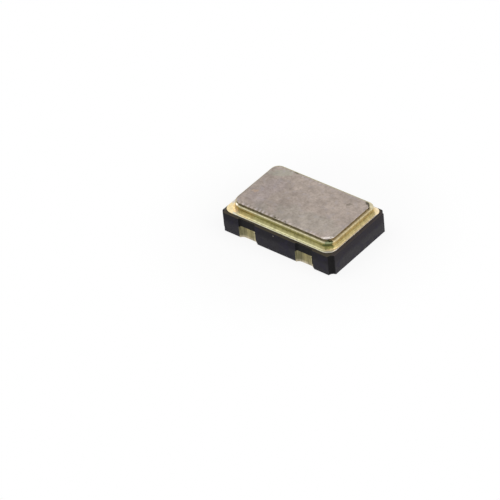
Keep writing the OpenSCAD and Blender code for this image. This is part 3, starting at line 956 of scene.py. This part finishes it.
def groove_film(x, side, z0, z1):
    """The film on the wall of a groove, bent over the snapped edge at its foot."""
    face = side * body_high.y

    def at_snapped_edge(edge):
        at_foot = all(abs(v.co.y - face) < 1e-3 and v.co.z < 0.01 for v in edge.verts)
        return at_foot and not upright(edge)

    film = lower_groove(x, side, z0, z1)
    near, far = sorted((face, face + side))
    cut(film, [block("outside", (body_low.x, near, BELOW), (body_high.x, far, ABOVE))])
    bevel_edges(film, at_snapped_edge, SNAP_BEVEL + TERMINAL_FILM, 1)
    return cut(film, [lower_groove(x, side, BELOW, ABOVE, wall=TERMINAL_FILM)])


def terminal(pin, material):
    """A solder pad and the film that runs on from it up the groove."""
    x, side = pin_places()[pin]
    x += GROOVE_DRIFT[pin]
    low, high = box_mm(f"terminal_{pin}")
    pad = solder_pad(pin)
    cut(pad, [lower_groove(x, side, BELOW, ABOVE)])
    cut(pad, [groove_film(x, side, low.z, high.z)], "UNION")
    if side < 0:
        cut(pad, [foot_chip(x, side)])
    soften(pad, 0.005)
    return finish_piece(pad, f"terminal_{pin}", material)


def seal_band(material):
    """The printed band, which runs a little nearer the back and left edges of the body."""
    left, right = BAND_X
    front, back = BAND_Y
    edge_r = 0.012
    section = [(-0.25, band_low.z), (-edge_r, band_low.z), (0, band_low.z + 0.004)]
    section += arc((-edge_r, band_high.z - edge_r), edge_r, 0, 90, 4)
    section += [(-0.25, band_high.z)]
    band = sweep_round("rim_band", section, right - left, back - front, BAND_CORNERS)
    middle = ((right + left) / 2, (back + front) / 2, 0)
    return finish_piece(band, "seal_band", material, offset=middle)


def seal_braze(material):
    """The braze under the ring, whose hollow fillet climbs the foot of its wall."""
    radius = BRAZE_REACH - BRAZE_TOE
    rise = braze_high.z - braze_low.z - BRAZE_TOE
    section = [(-0.2, braze_low.z), (BRAZE_REACH, braze_low.z)]
    section += arc((BRAZE_REACH, braze_high.z), radius, 270, 180, 12, stretch=rise / radius)
    section += [(0, braze_high.z), (0, ring_low.z), (-0.2, ring_low.z)]
    braze = sweep_round("ring_braze", section, *RING_SIZE, RING_CORNERS)
    return finish_piece(braze, "seal_braze", material, offset=RING_OFFSET)


def seal_ring(material):
    """The ring, with its upper outer edge rounded."""
    edge_r = 0.035
    section = [(-RING_WALL, ring_low.z), (0, ring_low.z)]
    section += arc((-edge_r, ring_high.z - edge_r), edge_r, 0, 90, 5)
    section += [(-RING_WALL, ring_high.z)]
    ring = sweep_round("seal_frame", section, *RING_SIZE, RING_CORNERS)
    return finish_piece(ring, "seal_ring", material, offset=RING_OFFSET)


def lid_plate(material):
    """The lid, with the pressed and slightly ragged edge that welding leaves."""
    length = lid_high.x - lid_low.x
    width = lid_high.y - lid_low.y
    bottom, top = lid_low.z, lid_high.z
    section = [(-0.2, bottom), (-0.035, bottom), (-0.03, bottom + 0.02)]
    section += [(-0.006, bottom + 0.035), (0, bottom + 0.055)]
    section += arc((-0.02, top - 0.034), 0.02, 10, 70, 3)
    section += [(-0.05, top - 0.009), (-0.085, top), (-0.2, top)]
    lid = sweep_round(
        "lid_plate", section, length, width, LID_CORNERS, run_steps=100, corner_steps=24, filled=True
    )
    pressed = 0.07

    def at_pressed_edge(vertex):
        x, y = abs(vertex.co.x), abs(vertex.co.y)
        near_edge = x > length / 2 - pressed or y > width / 2 - pressed
        return vertex.co.z > bottom + 0.03 and near_edge

    edit(lid)
    choose(lid, "verts", at_pressed_edge)
    bpy.ops.transform.vertex_random(offset=0.011, uniform=0.0, normal=0.0, seed=4)
    bpy.ops.mesh.vertices_smooth(factor=0.5, repeat=2)
    leave_edit()
    return finish_piece(lid, "lid", material, smooth_angle=50, offset=LID_OFFSET)


# ---------- Inside pieces ----------


def spun(name, profile, middle, steps=24):
    """A profile of (radius, height) points spun round an upright axis."""
    centre = Vector(middle)
    places = [centre + Vector((radius, 0, height)) for radius, height in profile]
    piece = outline(name, places, opened=True)
    bpy.ops.mesh.spin(steps=steps, angle=2 * math.pi, center=centre, axis=(0, 0, 1))
    choose_all()
    bpy.ops.mesh.remove_doubles(threshold=1e-5)
    bpy.ops.mesh.normals_make_consistent(inside=False)
    leave_edit()
    return piece


def ball_and_neck(name, ball):
    """The pressed ball and the neck above it, spun round their axis."""
    profile = [(0, 0), (0.031, 0), (BALL_R, 0.005), (BALL_R, 0.011), (0.03, 0.018)]
    profile += [(0.019, 0.021), (0.0145, 0.026), (WIRE_R, 0.034), (0, 0.034)]
    return spun(name, profile, ball)


def wire_loop(ball, stitch, heading, crest):
    """The round wire: up from the ball, over its bend and down to the stitch."""
    curve = bpy.data.curves.new("loop", "CURVE")
    curve.dimensions = "3D"
    curve.bevel_depth = WIRE_R
    curve.bevel_resolution = 3
    curve.resolution_u = 14
    curve.use_fill_caps = True
    line = curve.splines.new("BEZIER")
    line.bezier_points.add(2)
    stops = [
        (ball + Vector((0, 0, 0.03)), Vector((0, 0, 0.04))),
        (Vector((*(ball + heading * 0.055).xy, crest)), heading * 0.03),
        (stitch + Vector((0, 0, WIRE_R * 0.75)), heading * 0.09 - Vector((0, 0, 0.006))),
    ]
    for point, (place, handle) in zip(line.bezier_points, stops):
        point.co = place
        point.handle_left = place - handle
        point.handle_right = place + handle
    loop = bpy.data.objects.new("loop", curve)
    bpy.context.scene.collection.objects.link(loop)
    pick(loop)
    bpy.ops.object.convert(target="MESH")
    weld(loop)
    return loop


def pressed_stitch(stitch, heading):
    """The flattened end of the wire, wider and thinner towards its tip."""
    heel = block("stitch", (-0.03, -0.0195, 0), (0.035, 0.0195, 0.0128))
    edit(heel)
    choose(heel, "verts", lambda v: v.co.x > 0 and v.co.z > 0.01)
    bpy.ops.transform.resize(value=(1, 0.9, 0.3), center_override=(0.035, 0, 0))
    choose(heel, "verts", lambda v: v.co.x > 0)
    bpy.ops.transform.resize(value=(1, 1.25, 1), center_override=(0, 0, 0))
    leave_edit()
    bevel_edges(heel, lambda e: True, 0.004, 2)
    across = Vector((-heading.y, heading.x, 0))
    turn = Matrix((heading, across, Vector((0, 0, 1)))).transposed()
    for vertex in heel.data.vertices:
        vertex.co = stitch + turn @ vertex.co
    return heel


def bond_wire(number, material):
    """Ball and neck on the die, a loop, and a pressed stitch on the finger."""
    node = f"bond_wire_{number}"
    low, high = box_mm(node)
    side = -1 if low.y < 0 else 1
    y_ball = (high.y if side < 0 else low.y) + side * BALL_R
    y_stitch = (low.y if side < 0 else high.y) - side * BALL_R
    to_left = number in (1, 2, 5, 6)
    x_ball = high.x - BALL_R if to_left else low.x + BALL_R
    x_stitch = low.x + BALL_R if to_left else high.x - BALL_R
    ball = Vector((x_ball, y_ball, box_mm("die_bond_pads")[1].z))
    stitch = Vector((x_stitch, y_stitch, box_mm("lead_1")[1].z))
    heading = Vector((*(stitch - ball).xy, 0)).normalized()
    wire = ball_and_neck(f"wire_{number}", ball)
    loop = wire_loop(ball, stitch, heading, high.z - WIRE_R)
    cut(wire, [loop, pressed_stitch(stitch, heading)], "UNION")
    return finish_piece(wire, node, material, smooth_angle=60)


def adhesive_dot(number, material):
    """A pressed blob of conductive adhesive with an uneven edge."""
    node = f"adhesive_dot_{number}"
    low, high = box_mm(node)
    middle = Vector(((low.x + high.x) / 2, (low.y + high.y) / 2, low.z))
    radius = (high.x - low.x) / 2
    height = high.z - low.z
    shape = [(0, 0), (0.6, 0), (0.88, 0), (0.96, 0.3), (0.96, 0.6), (0.9, 1), (0.6, 1), (0, 1)]
    profile = [(radius * out, height * up) for out, up in shape]
    dot = spun(f"dot_{number}", profile, middle, steps=40)

    def on_rim(vertex):
        outside = (vertex.co.xy - middle.xy).length > radius * 0.8
        return outside and low.z < vertex.co.z < high.z

    edit(dot)
    choose(dot, "verts", on_rim)
    bpy.ops.transform.vertex_random(offset=0.012, uniform=0.0, normal=0.0, seed=number)
    bpy.ops.mesh.vertices_smooth(factor=0.5, repeat=2)
    leave_edit()
    return finish_piece(dot, node, material, smooth_angle=70)


def crystal_blank(material):
    """The sawn and lapped quartz plate."""
    low, high = box_mm("crystal_blank")
    blank = block("quartz_blank", low, high)
    bevel_edges(blank, upright, 0.03, 3)
    soften(blank, 0.006)
    return finish_piece(blank, "crystal_blank", material)


def oscillator_die(material):
    """The sawn chip, with a step round its circuit where the passivation ends."""
    low, high = box_mm("oscillator_die")
    saw_street = 0.022

    def in_street(vertex):
        x, y, z = vertex.co
        from_edge = min(x - low.x, high.x - x, y - low.y, high.y - y)
        return z > high.z - TOUCH and from_edge < saw_street + 0.0005

    die = block("silicon_die", low, high)
    edit(die)
    choose(die, "faces", lambda f: f.normal.z > 0.9)
    bpy.ops.mesh.inset(thickness=saw_street)
    bpy.ops.mesh.inset(thickness=0.004)
    choose(die, "verts", in_street)
    bpy.ops.transform.translate(value=(0, 0, -0.003))
    leave_edit()
    bevel_edges(die, upright, 0.004, 1)
    return finish_piece(die, "oscillator_die", material)


def give(material, nodes):
    """Puts a material on CAD nodes that stay."""
    for node in nodes:
        for slot in bpy.data.objects[node].material_slots:
            slot.material = material


# ---------- Stage ----------


def seen_directly(tree):
    """1 for camera, glossy and transmission rays, 0 for light that falls on the object."""
    paths = tree.nodes.new("ShaderNodeLightPath")
    seen = paths.outputs["Is Camera Ray"]
    for name in ("Is Glossy Ray", "Is Transmission Ray"):
        either = tree.nodes.new("ShaderNodeMath")
        either.operation = "MAXIMUM"
        tree.links.new(seen, either.inputs[0])
        tree.links.new(paths.outputs[name], either.inputs[1])
        seen = either.outputs[0]
    return seen


def table_top():
    """A pale table that fades to white away from the object and keeps its shadow."""
    start_clean()
    bpy.ops.mesh.primitive_circle_add(
        vertices=96, radius=0.6, fill_type="NGON", location=(0, 0, -FLOOR_GAP)
    )
    top = bpy.context.object
    top.name = "table_top"
    finish = Finish("white table", roughness=0.9)
    finish.shader.inputs["Base Color"].default_value = (0.93, 0.93, 0.93, 1)
    white = finish.node("ShaderNodeEmission")
    source = finish.node("ShaderNodeTexCoord")
    distance = finish.node("ShaderNodeVectorMath", operation="LENGTH")
    finish.link(source.outputs["Object"], distance.inputs[0])
    near, far, near_white = 0.003, 0.0065, 0.87
    away = finish.between(distance.outputs["Value"], near, far, near_white, 1.0)
    shown = finish.times(seen_directly(finish.tree), away)
    mix = finish.node("ShaderNodeMixShader")
    finish.link(shown, mix.inputs[0])
    finish.link(finish.shader.outputs[0], mix.inputs[1])
    finish.link(white.outputs[0], mix.inputs[2])
    finish.link(mix.outputs[0], finish.tree.nodes["Material Output"].inputs["Surface"])
    top.data.materials.append(finish.material)


def soft_light(name, place, size, power):
    """A round soft box that faces the object."""
    lamp = bpy.data.lights.new(name, "AREA")
    lamp.shape = "DISK"
    lamp.size = size
    lamp.energy = power
    holder = bpy.data.objects.new(name, lamp)
    holder.location = place
    holder.rotation_euler = (-Vector(place)).to_track_quat("-Z", "Y").to_euler()
    bpy.context.scene.collection.objects.link(holder)


def studio_world():
    """White to look at and in reflections, dimmer as a source of light."""
    world = bpy.data.worlds.new("studio")
    world.use_nodes = True
    tree = world.node_tree
    mix = tree.nodes.new("ShaderNodeMix")
    mix.data_type = "RGBA"
    mix.inputs[6].default_value = (0.55, 0.55, 0.55, 1)
    mix.inputs[7].default_value = (1, 1, 1, 1)
    tree.links.new(seen_directly(tree), mix.inputs[0])
    tree.links.new(mix.outputs[2], tree.nodes["Background"].inputs["Color"])
    bpy.context.scene.world = world


def camera():
    """Long lens from the front right, a little turned about its own axis."""
    place = Vector((0.059825, -0.0687876, 0.0717283))
    ahead = Vector((-0.526538, 0.579545, -0.622001)).normalized()
    right = ahead.cross(Vector((-0.338835, 0.527957, 0.778751))).normalized()
    up = right.cross(ahead)
    view = bpy.data.cameras.new("camera")
    view.lens = 236.89
    view.sensor_width = 36
    view.clip_start = 0.001
    view.clip_end = 10
    holder = bpy.data.objects.new("camera", view)
    turn = Matrix((right, up, -ahead)).transposed()
    holder.matrix_world = Matrix.Translation(place) @ turn.to_4x4()
    bpy.context.scene.collection.objects.link(holder)
    bpy.context.scene.camera = holder


ceramic_body()
terminal_gold = pad_gold()
for pin in (1, 2, 3, 4):
    terminal(pin, terminal_gold)
seal_band(band_gold())
seal_braze(braze_gold())
seal_ring(ring_gold())
lid_plate(nickel_lid())

leads = [f"lead_{number}" for number in (1, 2, 3, 4)]
give(fired_gold(), leads + ["crystal_print_1", "crystal_print_2", "die_paddle"])
give(bond_aluminium(), ["die_bond_pads"])
give(vapour_silver(), ["electrode_top", "electrode_bottom"])
adhesive = silver_adhesive()
give(adhesive, ["die_attach"])
adhesive_dot(1, adhesive)
adhesive_dot(2, adhesive)
crystal_blank(clear_quartz())
oscillator_die(silicon_chip())
wire_gold = drawn_gold()
for number in (1, 2, 3, 4, 5, 6):
    bond_wire(number, wire_gold)

table_top()
soft_light("key softbox", (0.30, 0.06, 0.26), 0.30, 0.55)
soft_light("fill softbox", (-0.24, -0.10, 0.30), 0.36, 0.35)
studio_world()
camera()

bpy.context.scene.view_settings.view_transform = "Standard"
